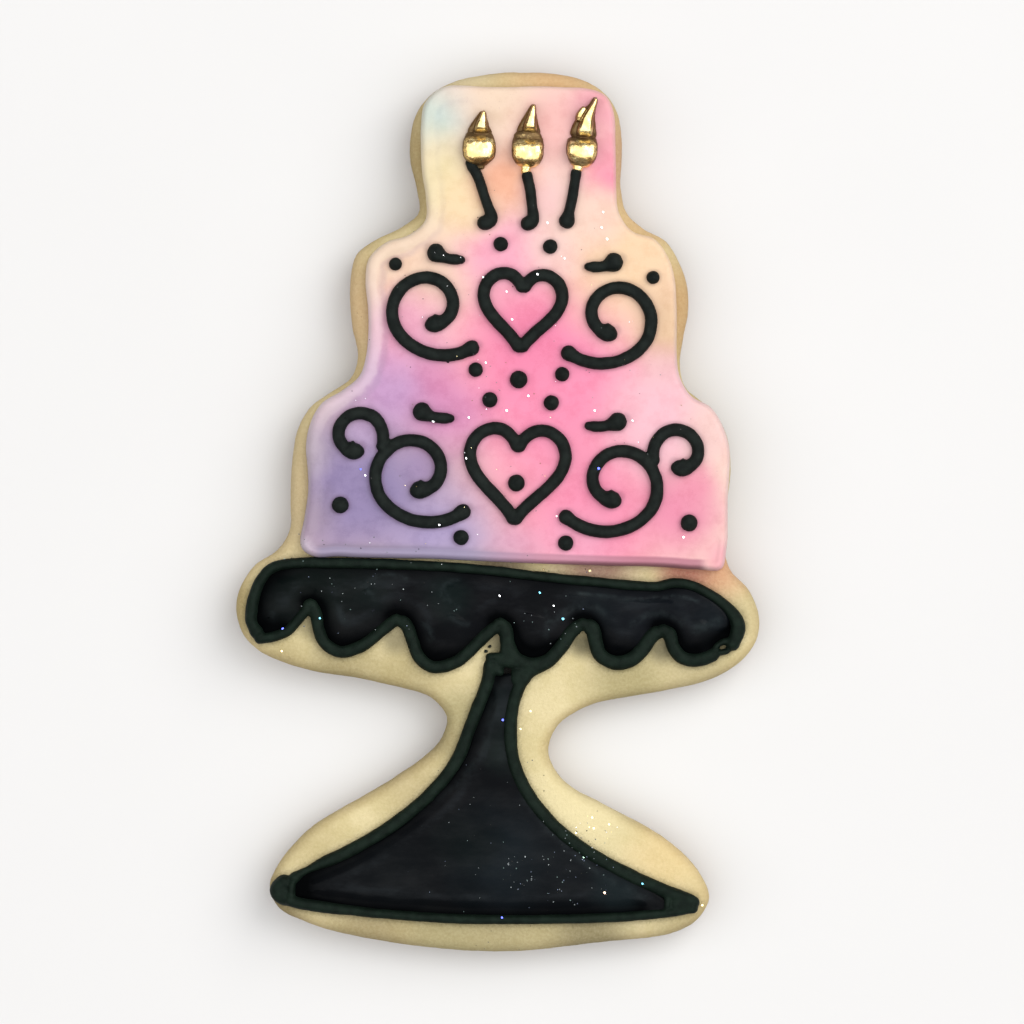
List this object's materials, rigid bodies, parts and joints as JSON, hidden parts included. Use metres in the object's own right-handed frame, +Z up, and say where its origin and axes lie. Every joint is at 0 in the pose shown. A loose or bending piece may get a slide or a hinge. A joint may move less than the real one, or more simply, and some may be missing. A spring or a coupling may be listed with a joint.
{
  "type": "cake-shaped decorated sugar cookie",
  "caption": "Flat sugar cookie cut as a tiered birthday cake on a pedestal stand, with pastel royal icing, black piped scrollwork and candles with gold flames.",
  "frame": {"origin": "middle of the cookie's footprint, on the surface that it lies on", "axes": "+Z up out of the iced face, +Y towards the top of the drawn cake, +X to its right"},
  "size_m": [0.068, 0.1144, 0.0111],
  "materials": {
    "cookie": "pale baked dough, matt, browner at the edge",
    "cake_icing": "satin royal icing airbrushed in soft pink, peach, lilac and cream clouds",
    "piping": "matt green-black piped icing",
    "flood": "blue-black flooded icing with a soft sheen and fine glitter",
    "gold": "edible gold lustre, polished and slightly crinkled"
  },
  "bodies": {
    "root": {"cookie": "cookie", "cake_icing": "cake_icing", "plate_flood": "flood", "foot_flood": "flood", "plate_outline": "piping", "foot_outline": "piping", "candle_1": "piping", "candle_2": "piping", "candle_3": "piping", "heart_upper": "piping", "scroll_upper_left": "piping", "leaf_upper_left": "piping", "scroll_upper_right": "piping", "leaf_upper_right": "piping", "dot_upper_1": "piping", "dot_upper_2": "piping", "dot_upper_3": "piping", "dot_upper_4": "piping", "dot_upper_5": "piping", "dot_upper_6": "piping", "dot_upper_7": "piping", "heart_lower": "piping", "scroll_lower_left": "piping", "leaf_lower_left": "piping", "scroll_lower_right": "piping", "leaf_lower_right": "piping", "dot_lower_1": "piping", "dot_lower_2": "piping", "dot_lower_3": "piping", "dot_lower_4": "piping", "dot_lower_5": "piping", "dot_lower_6": "piping", "dot_lower_7": "piping", "flame_1": "gold", "flame_2": "gold", "flame_3": "gold"}
  },
  "joints": []
}
